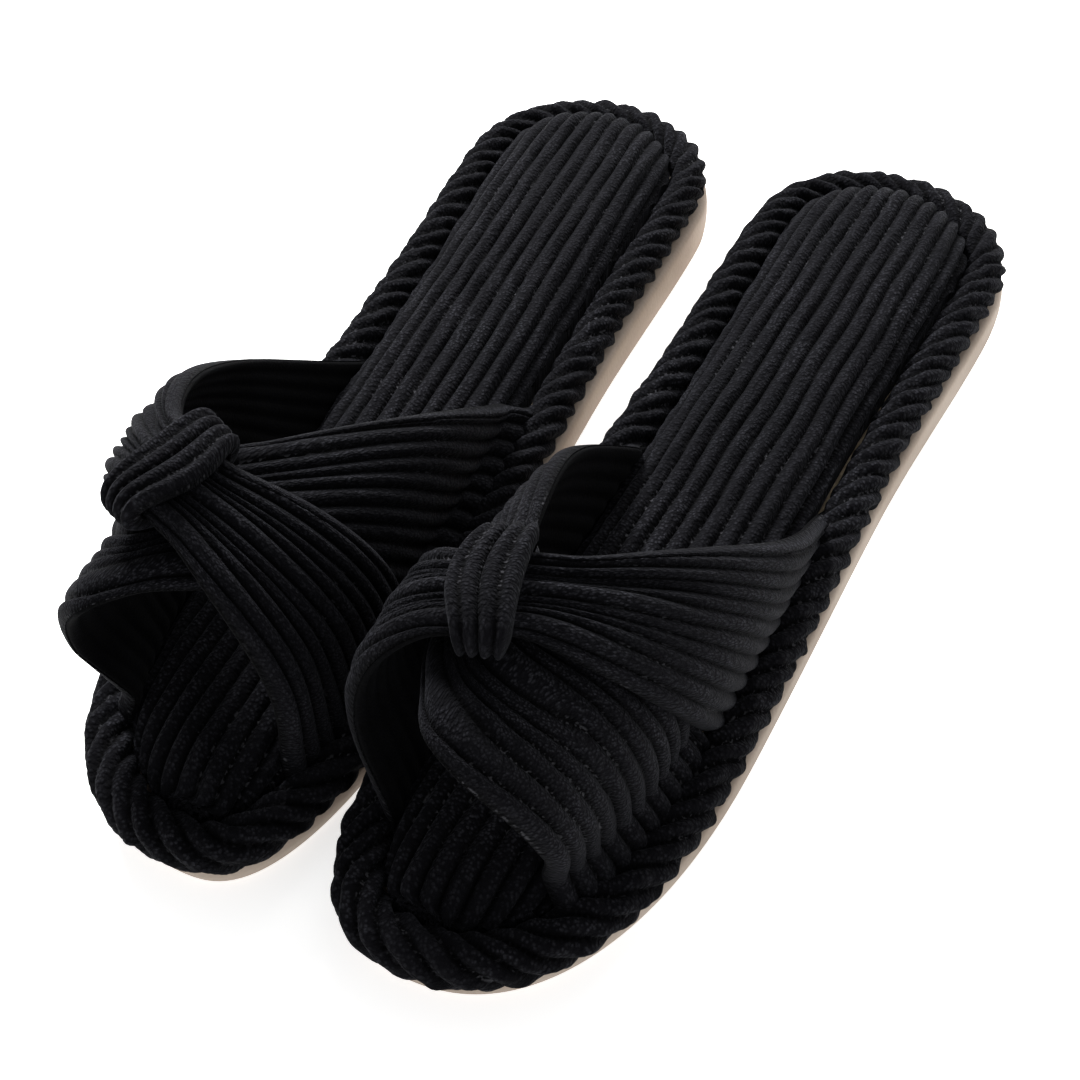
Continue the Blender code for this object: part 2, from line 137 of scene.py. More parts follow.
class Paint:
    """One material and the nodes that make its finish."""

    def __init__(self, name: str) -> None:
        """Start a material that holds only its Principled shader."""
        self.material = bpy.data.materials.new(name)
        self.material.use_nodes = True
        self.tree = self.material.node_tree
        self.shader = self.tree.nodes["Principled BSDF"]

    def node(self, kind: str, settings: dict | None = None, inputs: dict | None = None) -> bpy.types.Node:
        """Add a node of any type.

        Args:
            kind: the node's type.
            settings: properties of the node, which are set first.
            inputs: values, signals or sockets for its inputs, by name or number.

        Returns:
            The new node.
        """
        node = self.tree.nodes.new(kind)
        for key, value in (settings or {}).items():
            setattr(node, key, value)
        for key, value in (inputs or {}).items():
            self.feed(node.inputs[key], value)
        return node

    def feed(self, socket: bpy.types.NodeSocket, value: object) -> None:
        """Link a socket to what feeds it, or set its value."""
        if isinstance(value, Signal):
            self.tree.links.new(value.socket, socket)
        elif isinstance(value, bpy.types.NodeSocket):
            self.tree.links.new(value, socket)
        else:
            socket.default_value = value

    def attribute(self, name: str) -> bpy.types.Node:
        """Read a value that the mesh carries."""
        return self.node("ShaderNodeAttribute", {"attribute_name": name})

    def noise(self, place: object, scale: float, detail: float = 2.0) -> Signal:
        """Add smooth noise.

        Args:
            place: the vector socket that places it.
            scale: cells to the metre.
            detail: how many finer layers it has.

        Returns:
            The noise as a signal.
        """
        node = self.node("ShaderNodeTexNoise", {}, {"Vector": place, "Scale": scale, "Detail": detail})
        return Signal(self, node.outputs["Fac"])

    def cells(self, place: object, scale: float) -> Signal:
        """Add a cell pattern, such as loops of yarn.

        Args:
            place: the vector socket that places it.
            scale: cells to the metre.

        Returns:
            The distance to the nearest cell's middle as a signal.
        """
        node = self.node("ShaderNodeTexVoronoi", {}, {"Vector": place, "Scale": scale})
        return Signal(self, node.outputs["Distance"])

    def object_place(self) -> bpy.types.NodeSocket:
        """The place on the piece in metres."""
        return self.node("ShaderNodeTexCoord").outputs["Object"]

    def blend(self, share: "Signal | float", low: object, high: object) -> bpy.types.NodeSocket:
        """Mix two colours.

        Args:
            share: 0 for the low colour, 1 for the high one.
            low: a colour or a colour socket.
            high: a colour or a colour socket.

        Returns:
            The mixed colour's socket.
        """
        node = self.node("ShaderNodeMix", {"data_type": "RGBA"}, {"Factor": share})
        for number, value in ((6, low), (7, high)):
            self.feed(node.inputs[number], (*value, 1.0) if isinstance(value, tuple) else value)
        return node.outputs[2]

    def surface(self, colour: bpy.types.NodeSocket, rough: Signal) -> None:
        """Feed the shader's colour and roughness."""
        self.feed(self.shader.inputs["Base Color"], colour)
        self.feed(self.shader.inputs["Roughness"], rough)

    def relief(self, height: Signal, distance: float) -> None:
        """Raise the surface by a signal, through a Bump node."""
        bump = self.node("ShaderNodeBump", {}, {"Height": height, "Distance": distance, "Strength": 1.0})
        self.feed(self.shader.inputs["Normal"], bump.outputs["Normal"])

    def constants(self, **values: object) -> None:
        """Set sockets of the shader that are the same all over."""
        for name, value in values.items():
            socket = self.shader.inputs[name.replace("_", " ")]
            socket.default_value = (*value, 1.0) if isinstance(value, tuple) else value


@dataclass(frozen=True)
class Corduroy:
    """Soft plush corduroy: deep grooves darkened with painted shade, knitted loops whose tips carry a
    painted highlight along the wale crests, and light dashes by the grooves that are partly a light thread
    and partly painted highlight on the lit wale flanks.
    """

    name: str = "plush_corduroy"
    # groove: near-black colour of the wale bottoms, painted shade in the grooves
    groove: Colour = (0.0004, 0.0004, 0.0006)
    crest: Colour = (0.0034, 0.0034, 0.0045)
    # painted highlight on the loop tips along the wale crests
    crest_highlight: Colour = (0.0370, 0.0375, 0.0450)
    # light dashes by the grooves: partly a light thread, partly painted highlight on the lit wale flanks
    thread: Colour = (0.070, 0.070, 0.078)
    loop_size: float = 0.00075
    thread_highlight_share: float = 0.55

    def make(self) -> bpy.types.Material:
        """Mix the finish and return its material."""
        paint = Paint(self.name)
        wale = paint.attribute("wale")
        crest = Signal(paint, wale.outputs["Fac"])
        place = paint.attribute("weave").outputs["Vector"]
        cloth = paint.object_place()
        loops = paint.cells(place, 1 / self.loop_size)
        patches = paint.noise(cloth, 55.0, 3.0)
        fuzz = paint.noise(cloth, 2600.0, 3.0)
        # Painted shade: the grooves blend to the groove colour, the crests to the crest colour.
        body = paint.blend(crest.ease(0.10, 0.95), self.groove, self.crest)
        # Painted highlight: light loop tips, strongest on the wale crests.
        tips = (1 - loops).ease(0.42, 0.88) * (0.35 + patches.ease(0.40, 0.70) * 0.65)
        highlight_share = tips * (0.45 + fuzz.ease(0.45, 0.70) * 0.55) * crest.ease(0.25, 0.95)
        body = paint.blend(highlight_share, body, self.crest_highlight)
        # Light dashes beside the grooves: partly a light thread, partly painted highlight on the lit wale
        # flanks.
        dashes = paint.noise(place, 900.0, 1.0).ease(0.54, 0.62)
        runs = paint.noise(cloth, 38.0, 1.0).ease(0.46, 0.60)
        groove = crest.ease(0.05, 0.20) * (1 - crest.ease(0.28, 0.46))
        body = paint.blend(groove * dashes * runs * self.thread_highlight_share, body, self.thread)
        paint.surface(body, 0.82 + fuzz * 0.16)
        paint.relief((1 - loops) * 0.75 + fuzz * 0.45, 0.00042)
        paint.constants(Sheen_Weight=0.035, Sheen_Roughness=0.40, Sheen_Tint=(0.55, 0.57, 0.66))
        paint.constants(Specular_IOR_Level=0.05)
        return paint.material


@dataclass(frozen=True)
class Lining:
    """Plain brushed lining, a little duller than the corduroy, in near-black colours that are partly the
    cloth's own dark colour and partly painted shade for the shaded undersides of the bands.
    """

    name: str = "brushed_lining"
    # near-black cloth colours, partly the cloth's own and partly painted shade under the bands
    dark: Colour = (0.0004, 0.0004, 0.0005)
    light: Colour = (0.0022, 0.0022, 0.0027)

    def make(self) -> bpy.types.Material:
        """Mix the finish and return its material."""
        paint = Paint(self.name)
        cloth = paint.object_place()
        pile = paint.noise(cloth, 1900.0, 3.0)
        patches = paint.noise(cloth, 70.0, 2.0)
        share = pile.ease(0.35, 0.75) * 0.6 + patches.ease(0.4, 0.7) * 0.4
        paint.surface(paint.blend(share, self.dark, self.light), 0.84 + pile * 0.14)
        paint.relief(pile, 0.00022)
        paint.constants(Sheen_Weight=0.01, Sheen_Roughness=0.5, Sheen_Tint=(0.55, 0.57, 0.66))
        paint.constants(Specular_IOR_Level=0.04)
        return paint.material


@dataclass(frozen=True)
class FoamRubber:
    """Matt moulded foam rubber of the sole, with a fine skin and faint scuffs."""

    name: str = "foam_rubber"
    base: Colour = (0.380, 0.305, 0.245)
    pale: Colour = (0.480, 0.400, 0.330)
    scuff: Colour = (0.330, 0.265, 0.210)

    def make(self) -> bpy.types.Material:
        """Mix the finish and return its material."""
        paint = Paint(self.name)
        place = paint.object_place()
        skin = paint.noise(place, 1500.0, 4.0)
        clouds = paint.noise(place, 26.0, 3.0)
        pores = paint.cells(place, 900.0)
        body = paint.blend(clouds.ease(0.35, 0.7), self.base, self.pale)
        low = Signal(paint, paint.node("ShaderNodeSeparateXYZ", {}, {"Vector": place}).outputs["Z"])
        marks = (1 - low.ease(0.0, 0.0026)) * paint.noise(place, 240.0, 4.0).ease(0.45, 0.7)
        body = paint.blend(marks * 0.6, body, self.scuff)
        paint.surface(body, 0.58 + skin * 0.2)
        paint.relief(skin * 0.5 + pores * 0.5, 0.00012)
        paint.constants(Specular_IOR_Level=0.35)
        return paint.material


@dataclass(frozen=True)
class PlainFill:
    """Finish of a hidden inner piece: foam, board, cord or thread."""

    name: str
    low: Colour
    high: Colour
    grain: float
    rough: float = 0.85

    def make(self) -> bpy.types.Material:
        """Mix the finish and return its material."""
        paint = Paint(self.name)
        place = paint.object_place()
        fine = paint.noise(place, self.grain, 4.0)
        paint.surface(paint.blend(fine.ease(0.3, 0.7), self.low, self.high), self.rough - 0.1 + fine * 0.2)
        paint.relief(fine, 0.0002)
        return paint.material


@dataclass(frozen=True)
class FloorPaint:
    """Plain pale studio floor."""

    name: str = "studio_floor"
    colour: Colour = (0.93, 0.93, 0.93)
    glow: float = 0.68

    def make(self) -> bpy.types.Material:
        """Mix the finish and return its material."""
        paint = Paint(self.name)
        paint.constants(Base_Color=self.colour, Roughness=0.9, Specular_IOR_Level=0.1)
        paint.constants(Emission_Color=self.colour, Emission_Strength=self.glow)
        return paint.material


# --------------------------------------------------------------- plain helpers
def smoothstep(value: Array | float) -> Array:
    """Ease a share from 0 to 1 with level ends."""
    share = np.clip(value, 0.0, 1.0)
    return share * share * (3.0 - 2.0 * share)


def ridge(phase: Array, sharpness: float = 0.62) -> Array:
    """Height of a rounded wale with a tight groove at every whole phase."""
    return np.abs(np.sin(np.pi * phase)) ** sharpness


def ripple(u: Array, v: Array, seed: int, waves: int = 5) -> Array:
    """Gentle unevenness over two coordinates.

    Args:
        u: the first coordinate, where 1 is about one wave.
        v: the second coordinate.
        seed: picks the waves.
        waves: how many waves are laid over each other.

    Returns:
        Values from about -1 to 1.
    """
    random = np.random.default_rng(seed)
    total = np.zeros(np.broadcast(u, v).shape)
    for _ in range(waves):
        angle, phase = random.uniform(0, 2 * np.pi, 2)
        pace = 2 * np.pi * random.uniform(0.5, 1.5)
        total += np.sin(pace * (u * np.cos(angle) + v * np.sin(angle)) + phase)
    return total / math.sqrt(waves * 2)


def grid_normals(points: Array) -> Array:
    """Unit normals of a grid of points, by its own neighbours."""
    along = np.gradient(points, axis=0)
    across = np.gradient(points, axis=1)
    normal = np.cross(along, across)
    return normal / np.maximum(np.linalg.norm(normal, axis=-1), 1e-12)[..., None]


def even_ring(ring: Array, count: int) -> Array:
    """Spread points evenly round a closed ring.

    Args:
        ring: the ring's points in order.
        count: how many points the new ring has.

    Returns:
        The new ring.
    """
    closed = np.vstack([ring, ring[:1]])
    reach = np.concatenate([[0.0], np.cumsum(np.linalg.norm(np.diff(closed, axis=0), axis=1))])
    places = np.linspace(0.0, reach[-1], count, endpoint=False)
    return np.column_stack([np.interp(places, reach, closed[:, axis]) for axis in range(ring.shape[1])])


def ring_tangents(ring: Array) -> Array:
    """Unit directions along a closed ring, one for each point."""
    tangent = np.roll(ring, -1, axis=0) - np.roll(ring, 1, axis=0)
    return tangent / np.linalg.norm(tangent, axis=1)[:, None]


def soften_ring(ring: Array, passes: int) -> Array:
    """Round off small corners of a closed ring."""
    for _ in range(passes):
        ring = (np.roll(ring, 1, axis=0) + 2 * ring + np.roll(ring, -1, axis=0)) / 4
    return ring


def quads(rows: int, columns: int, start: int = 0, closed: bool = False) -> Array:
    """Faces over a grid of vertices.

    Args:
        rows: rows of vertices.
        columns: vertices in a row.
        start: number of the first vertex.
        closed: whether each row is a ring.

    Returns:
        One row of four vertex numbers for each face.
    """
    row = np.arange(rows - 1)[:, None] * columns
    column = np.arange(columns if closed else columns - 1)[None, :]
    after = (column + 1) % columns
    faces = np.stack([row + column, row + after, row + columns + after, row + columns + column], axis=-1)
    return faces.reshape(-1, 4) + start


def capped_tube(rows: int, columns: int) -> list[list[int]]:
    """Faces of a tube made of closed rows, with a flat cap at each end."""
    faces = quads(rows, columns, closed=True).tolist()
    faces.append(list(range(columns)))
    faces.append(list(range((rows - 1) * columns, rows * columns)))
    return faces


# ------------------------------------------------------------------ mesh piece
@dataclass
class Piece:
    """A mesh piece on its way to the scene."""

    name: str
    vertices: Array
    faces: list
    wale: Array | None = None
    weave: Array | None = None

    def make(self, material: bpy.types.Material) -> bpy.types.Object:
        """Turn the piece into an object.

        Args:
            material: its finish.

        Returns:
            The object, linked to the scene.
        """
        mesh = bpy.data.meshes.new(self.name)
        mesh.from_pydata(self.vertices.tolist(), [], [list(map(int, face)) for face in self.faces])
        if self.wale is not None:
            values = mesh.attributes.new("wale", "FLOAT", "POINT")
            values.data.foreach_set("value", np.ascontiguousarray(self.wale, np.float32))
        if self.weave is not None:
            values = mesh.attributes.new("weave", "FLOAT_VECTOR", "POINT")
            values.data.foreach_set("vector", np.ascontiguousarray(self.weave, np.float32).ravel())
        work = bmesh.new()
        work.from_mesh(mesh)
        bmesh.ops.recalc_face_normals(work, faces=work.faces)
        work.to_mesh(mesh)
        work.free()
        mesh.shade_smooth()
        mesh.set_sharp_from_angle(angle=math.radians(75))
        mesh.materials.append(material)
        item = bpy.data.objects.new(self.name, mesh)
        bpy.context.scene.collection.objects.link(item)
        return item


# ------------------------------------------------------------------ sole shape
@dataclass
class SoleForm:
    """The wedge sole's outline and height, and the lines that follow from them."""

    side: Side
    length: float = 0.262
    heel_half_width: float = 0.0350
    waist_half_width: float = 0.0323
    ball_outer: float = 0.0330
    ball_inner: float = 0.0320
    ball_from_toe: float = 0.074
    tip_inward: float = 0.008
    toe_roundness: float = 2.35
    toe_in: float = math.radians(3.1)
    heel_rise: float = 0.0117
    ball_rise: float = 0.0062
    toe_rise: float = 0.0062
    rim_radius: float = 0.0047
    rim_heel: float = 0.0059
    rim_ball: float = 0.0050
    rim_toe: float = 0.0016
    points: int = 420
    soft_passes: int = 6
    ring: Array = field(init=False)
    place: Array = field(init=False)

    def __post_init__(self) -> None:
        """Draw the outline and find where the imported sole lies."""
        outer = self._half(self.ball_outer, -self.tip_inward)
        inner = self._half(self.ball_inner, self.tip_inward)
        whole = np.vstack([outer, (inner * (-1, 1))[1:-1][::-1]])
        self.ring = soften_ring(even_ring(whole, self.points), self.soft_passes)
        low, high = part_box(self.side.prefix + "outsole")
        turned = self._turn(np.column_stack([whole * (self.side.value, 1), np.zeros(len(whole))]))
        middle = (turned.min(axis=0) + turned.max(axis=0)) / 2
        self.place = np.array([(low.x + high.x) / 2 - middle[0], (low.y + high.y) / 2 - middle[1], low.z])

    @property
    def heel_centre(self) -> float:
        """Where the heel's half circle is centred."""
        return self.length / 2 - self.heel_half_width

    @property
    def ball(self) -> float:
        """Where the sole is widest under the ball of the foot."""
        return self.ball_from_toe - self.length / 2

    def _half(self, ball_width: float, tip: float) -> Array:
        """Fine points down one side, from the heel to the toe tip."""
        turn = np.linspace(0, np.pi / 2, 60, endpoint=False)
        heel = np.column_stack([np.sin(turn), np.cos(turn)]) * self.heel_half_width + (0, self.heel_centre)
        y = np.linspace(self.heel_centre, self.ball, 60, endpoint=False)
        waist = (self.heel_centre + self.ball) / 2
        to_waist = smoothstep((self.heel_centre - y) / (self.heel_centre - waist))
        to_ball = smoothstep((waist - y) / (waist - self.ball))
        width = self.heel_half_width + (self.waist_half_width - self.heel_half_width) * to_waist
        flank = np.column_stack([width + (ball_width - self.waist_half_width) * to_ball, y])
        turn = np.linspace(0, np.pi / 2, 161)
        reach = np.sin(turn) ** (2 / self.toe_roundness)
        spread = np.clip(np.cos(turn), 0, 1) ** (2 / self.toe_roundness)
        toe = np.column_stack([tip + (ball_width - tip) * spread, self.ball - self.ball_from_toe * reach])
        return np.vstack([heel, flank, toe])

    def _turn(self, points: Array) -> Array:
        """Turn points by the slipper's toe-in."""
        angle = -self.side.value * self.toe_in
        x = points[..., 0] * math.cos(angle) - points[..., 1] * math.sin(angle)
        y = points[..., 0] * math.sin(angle) + points[..., 1] * math.cos(angle)
        return np.stack([x, y, points[..., 2]], axis=-1)

    def to_frame(self, points: Array) -> Array:
        """Take points from the slipper's own frame, outer side at +x, to the row frame."""
        return self._turn(points * (self.side.value, 1, 1)) + self.place

    def along(self, y: Array, heel: float, ball: float, toe: float) -> Array:
        """Blend a size from the heel through the ball to the toe."""
        to_ball = smoothstep((self.heel_centre - y) / (self.heel_centre - self.ball))
        to_toe = smoothstep((self.ball - y) / self.ball_from_toe)
        return heel + (ball - heel) * to_ball + (toe - ball) * to_toe

    def deck(self, y: Array) -> Array:
        """Height of the sole's top face."""
        return self.along(y, self.heel_rise, self.ball_rise, self.toe_rise)

    def rim_inset(self, y: Array) -> Array:
        """Distance from the sole's edge to the middle of the corded rim."""
        return self.along(y, self.rim_heel, self.rim_ball, self.rim_toe)

    def inset(self, distance: Array | float) -> Array:
        """Move the sole's edge inwards.

        Args:
            distance: how far, one value or one for each point.

        Returns:
            The moved ring.
        """
        tangent = ring_tangents(self.ring)
        inward = np.column_stack([tangent[:, 1], -tangent[:, 0]])
        return self.ring + inward * np.broadcast_to(distance, len(self.ring))[:, None]

    def lift(self, ring: Array, above: Array | float) -> Array:
        """Raise a flat ring to a height above the deck."""
        return np.column_stack([ring, self.deck(ring[:, 1]) + above])

    def limit(self, ring: Array, y: Array, outer: bool) -> Array:
        """Distance from the slipper's middle line to one side of a ring, at each y."""
        heel, toe = int(np.argmax(ring[:, 1])), int(np.argmin(ring[:, 1]))
        rolled = np.roll(ring, -heel, axis=0)
        toe = (toe - heel) % len(ring)
        half = rolled[: toe + 1] if outer else np.vstack([rolled[toe:], rolled[:1]])[::-1]
        return np.interp(-y, -half[:, 1], half[:, 0] if outer else -half[:, 0])


# ---------------------------------------------------------------- sub-assembly
@dataclass
class Outsole:
    """The smooth wedge sole."""

    form: SoleForm
    edge_round: float = 0.0015
    top_inset: float = 0.0018
    under_inset: float = 0.0033
    wall_swell: float = 0.0003
    wall_shares: tuple[float, ...] = (0.3, 0.6, 0.85)
    edge_steps: int = 6

    def build(self, material: bpy.types.Material) -> bpy.types.Object:
        """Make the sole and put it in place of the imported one.

        Args:
            material: its finish.

        Returns:
            The sole.
        """
        form = self.form
        ring = form.ring
        flat = np.zeros(len(ring))
        rings = [np.column_stack([form.inset(self.under_inset), flat])]
        for step in range(1, self.edge_steps + 1):
            turn = math.pi / 2 * step / self.edge_steps
            inset = self.edge_round * (1 - math.sin(turn))
            height = flat + self.edge_round * (1 - math.cos(turn))
            rings.append(np.column_stack([form.inset(inset), height]))
        for share in self.wall_shares:
            height = self.edge_round + (form.deck(ring[:, 1]) - 2 * self.edge_round) * share
            swell = self.wall_swell * math.sin(math.pi * share)
            rings.append(np.column_stack([form.inset(-swell), height]))
        for step in range(1, self.edge_steps + 1):
            turn = math.pi / 2 * step / self.edge_steps
            inset = self.top_inset * (1 - math.cos(turn))
            drop = self.edge_round * (1 - math.sin(turn))
            rings.append(form.lift(form.inset(inset), -drop))
        faces = capped_tube(len(rings), len(ring))
        prefix = form.side.prefix
        sole = Piece(prefix + "smooth_sole", form.to_frame(np.vstack(rings)), faces).make(material)
        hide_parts(prefix + "outsole")
        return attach(sole, form.side.body)


@dataclass
class Footbed:
    """The padded footbed under its ribbed corduroy cover."""

    form: SoleForm
    pitch: float = 0.0044
    wale_height: float = 0.0019
    base_rise: float = 0.0020
    wall: float = 0.0034
    crown: float = 0.0125
    shoulder: float = 0.0120
    heel_gap: float = 0.0010
    ball_gap: float = 0.0024
    toe_gap: float = 0.0006
    end_gap: float = 0.0002
    drift: float = 0.00035
    unevenness: float = 0.16
    wale_level: float = 0.55
    soft_passes: int = 4
    rows: int = 210
    columns: int = 170

    def edge(self) -> Array:
        """The footbed's outline inside the corded rim."""
        form = self.form
        y = form.ring[:, 1]
        gap = form.along(y, self.heel_gap, self.ball_gap, self.toe_gap)
        ring = form.inset(form.rim_inset(y) + form.rim_radius + gap)
        return soften_ring(ring, self.soft_passes)

    def _rise(self, points: Array, ring: Array) -> Array:
        """Height of the pad over its base, from the distance to its edge."""
        flat = points.reshape(-1, 2)
        near = np.full(len(flat), np.inf)
        for part in np.array_split(ring, 6):
            gaps = np.linalg.norm(flat[:, None, :] - part[None, :, :], axis=2)
            near = np.minimum(near, gaps.min(axis=1))
        near = near.reshape(points.shape[:2])
        share = np.clip(near / self.shoulder, 0.0, 1.0)
        dome = np.sqrt(np.clip(1 - (1 - share) ** 2, 0.0, 1.0))
        return self.wall + (self.crown - self.wall) * dome

    def build(self, material: bpy.types.Material) -> bpy.types.Object:
        """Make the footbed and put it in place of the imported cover.

        Args:
            material: its finish.

        Returns:
            The footbed.
        """
        form = self.form
        ring = self.edge()
        low, high = ring[:, 1].min() + self.end_gap, ring[:, 1].max() - self.end_gap
        swing = np.sin(np.linspace(-np.pi / 2, np.pi / 2, self.rows))
        y = (low + high) / 2 + (high - low) / 2 * swing
        outer, inner = form.limit(ring, y, True), -form.limit(ring, y, False)
        fan = np.sin(np.linspace(-np.pi / 2, np.pi / 2, self.columns))
        x = (outer + inner)[:, None] / 2 + (outer - inner)[:, None] / 2 * fan[None, :]
        flat = np.stack([x, np.broadcast_to(y[:, None], x.shape)], axis=-1)
        base = form.deck(flat[..., 1]) + self.base_rise
        points = np.concatenate([flat, (base + self._rise(flat, ring))[..., None]], axis=-1)
        normals = grid_normals(points)
        normals[normals[..., 2] < 0] *= -1
        steps = np.linalg.norm(np.diff(points[:, :, [0, 2]], axis=1), axis=2)
        reach = np.concatenate([np.zeros((len(y), 1)), np.cumsum(steps, axis=1)], axis=1)
        centre = np.array([np.interp(0.0, x[row], reach[row]) for row in range(len(y))])
        across = reach - centre[:, None]
        seed = 11 if form.side is Side.LEFT else 12
        drift = ripple(points[..., 1] / 0.05, across / 0.03, seed) * self.drift
        wale = ridge((across + drift) / self.pitch + 0.5)
        uneven = 1 + self.unevenness * ripple(points[..., 1] / 0.022, across / 0.004, seed + 20)
        points = points + normals * ((wale * uneven - self.wale_level) * self.wale_height)[..., None]
        weave = np.stack([across, points[..., 1], np.zeros_like(across)], axis=-1)
        return self._close(points, base, wale, weave, material)

    def _close(self, points: Array, base: Array, wale: Array, weave: Array,
               material: bpy.types.Material) -> bpy.types.Object:
        """Close the pad with its side wall and flat underside, and place it.

        Args:
            points: the pad's top as a grid.
            base: the height of its underside at each point.
            wale: wale height at each point.
            weave: place on the cloth at each point.
            material: its finish.

        Returns:
            The footbed.
        """
        rows, columns = points.shape[:2]
        under = np.concatenate([points[:, [0, -1], :2], base[:, [0, -1], None]], axis=-1)
        vertices = np.vstack([points.reshape(-1, 3), under.reshape(-1, 3)])
        first = rows * columns
        faces = quads(rows, columns).tolist() + quads(rows, 2, first).tolist()
        for row in range(rows - 1):
            left, right = row * columns, row * columns + columns - 1
            faces.append([left, left + columns, first + 2 * row + 2, first + 2 * row])
            faces.append([right, right + columns, first + 2 * row + 3, first + 2 * row + 1])
        faces.append(list(range(columns)) + [first + 1, first])
        end = (rows - 1) * columns
        faces.append(list(range(end, end + columns)) + [first + 2 * rows - 1, first + 2 * rows - 2])
        form = self.form
        # The side wall and underside take wale 0, the groove colour: painted shade in the channel between
        # the pad and the rim.
        side_wale = np.concatenate([wale.ravel(), np.zeros(2 * rows)])
        side_weave = np.vstack([weave.reshape(-1, 3), weave[:, [0, -1]].reshape(-1, 3)])
        name = form.side.prefix + "ribbed_footbed"
        pad = Piece(name, form.to_frame(vertices), faces, side_wale, side_weave).make(material)
        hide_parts(form.side.prefix + "footbed_cover")
        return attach(pad, form.side.body)


@dataclass
class RopeRim:
    """The corded rim, whose slanting wales make it look like a rope."""

    form: SoleForm
    pitch: float = 0.0066
    wale_pitch: float = 0.0056
    wale_height: float = 0.0019
    wale_level: float = 0.72
    lift: float = 0.0003
    wander: float = 0.16
    unevenness: float = 0.2
    samples: int = 9
    around: int = 34

    def build(self, material: bpy.types.Material) -> bpy.types.Object:
        """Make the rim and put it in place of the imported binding.

        Args:
            material: its finish.

        Returns:
            The rim.
        """
        form = self.form
        path = form.lift(form.inset(form.rim_inset(form.ring[:, 1])), form.rim_radius + self.lift)
        length = float(np.linalg.norm(np.roll(path, -1, axis=0) - path, axis=1).sum())
        scallops = round(length / self.pitch)
        path = even_ring(path, scallops * self.samples)
        tangent = ring_tangents(path)
        outward = np.column_stack([-tangent[:, 1], tangent[:, 0], np.zeros(len(path))])
        outward /= np.linalg.norm(outward, axis=1)[:, None]
        upward = np.cross(tangent, outward)
        upward *= np.sign(upward[:, 2])[:, None]
        turn = np.linspace(0, 2 * np.pi, self.around, endpoint=False)[None, :]
        travel = np.arange(len(path))[:, None] / self.samples
        seed = 31 if form.side is Side.LEFT else 32
        wander = ripple(travel / 3.0, turn * 0.15, seed) * self.wander
        starts = round(2 * np.pi * form.rim_radius / self.wale_pitch)
        phase = travel - starts * turn / (2 * np.pi) * form.side.value + wander
        wale = ridge(phase, 0.75)
        uneven = 1 + self.unevenness * ripple(travel / 1.3, turn, seed + 5)
        radius = form.rim_radius + (wale * uneven - self.wale_level) * self.wale_height
        spread = np.cos(turn)[..., None] * outward[:, None, :]
        spread = spread + np.sin(turn)[..., None] * upward[:, None, :]
        points = path[:, None, :] + radius[..., None] * spread
        rows = np.concatenate([points, points[:1]], axis=0)
        faces = quads(len(rows), self.around, closed=True) % (len(path) * self.around)
        weave = np.stack([travel * self.pitch + 0 * turn, form.rim_radius * turn + 0 * travel, 0 * wale],
                         axis=-1)
        name = form.side.prefix + "rope_rim"
        rim = Piece(name, form.to_frame(points.reshape(-1, 3)), faces.tolist(), wale.ravel(),
                    weave.reshape(-1, 3)).make(material)
        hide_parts(form.side.prefix + "rim_binding")
        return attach(rim, form.side.body)


class Crossing(Enum):
    """Which of the two crossed bands a band is."""

    OVER = "over_band"
    UNDER = "under_band"


@dataclass
class Arch:
    """The arch over the foot that both bands follow."""

    form: SoleForm
    height: float = 0.068
    shoulder: float = 0.039
    side_inset: float = 0.0060
    foot_share: float = 0.38
    straight_foot: float = 0.0030
    tuck: float = 0.85
    foot_rise: float = 0.0035
    lean: float = -0.0075
    rear_centre: float = -0.027
    front_centre: float = -0.087
    knot: float = -0.090
    knot_ease: float = 0.35
    narrowest_y: float = -0.098

    def centre(self, travel: Array) -> Array:
        """Where along the slipper a band's middle line lies, -1 rear end to 1 front end."""
        bend = (self.rear_centre + self.front_centre) / 2 - self.knot
        slope = (self.front_centre - self.rear_centre) / 2
        ease = self.knot_ease
        eased = (np.hypot(travel, ease) - ease) / (math.hypot(1.0, ease) - ease)
        return self.knot + slope * travel + bend * eased

    def point(self, share: Array, y: Array, outer: Array) -> Array:
        """A point of the arch.

        Args:
            share: 0 at the foot in the channel, 1 at the top.
            y: place along the slipper.
            outer: whether the point is on the outer side.

        Returns:
            The points, before they lean.
        """
        form = self.form
        channel = form.inset(form.rim_inset(form.ring[:, 1]) + form.rim_radius * self.tuck)
        foot_x = np.where(outer, form.limit(channel, y, True), form.limit(channel, y, False))
        wide_y = np.maximum(y, self.narrowest_y)
        wide_x = np.where(outer, form.limit(form.ring, wide_y, True), form.limit(form.ring, wide_y, False))
        wide_x = wide_x - self.side_inset
        foot_z = form.deck(y) + self.foot_rise
        lower = np.clip(share / self.foot_share, 0.0, 1.0)
        angle = np.clip((share - self.foot_share) / (1 - self.foot_share), 0.0, 1.0) * np.pi / 2
        rise = foot_z + (self.shoulder - foot_z) * lower
        swing = (rise - foot_z - self.straight_foot) / (self.shoulder - foot_z - self.straight_foot)
        x = (foot_x + (wide_x - foot_x) * smoothstep(swing)) * np.cos(angle)
        z = rise + (self.height - self.shoulder) * np.sin(angle)
        x = np.where(outer, x, -x)
        above = np.clip((z - foot_z) / (self.height - foot_z), 0.0, 1.0)
        return np.stack([x + form.side.value * self.lean * above ** 2, y, z], axis=-1)


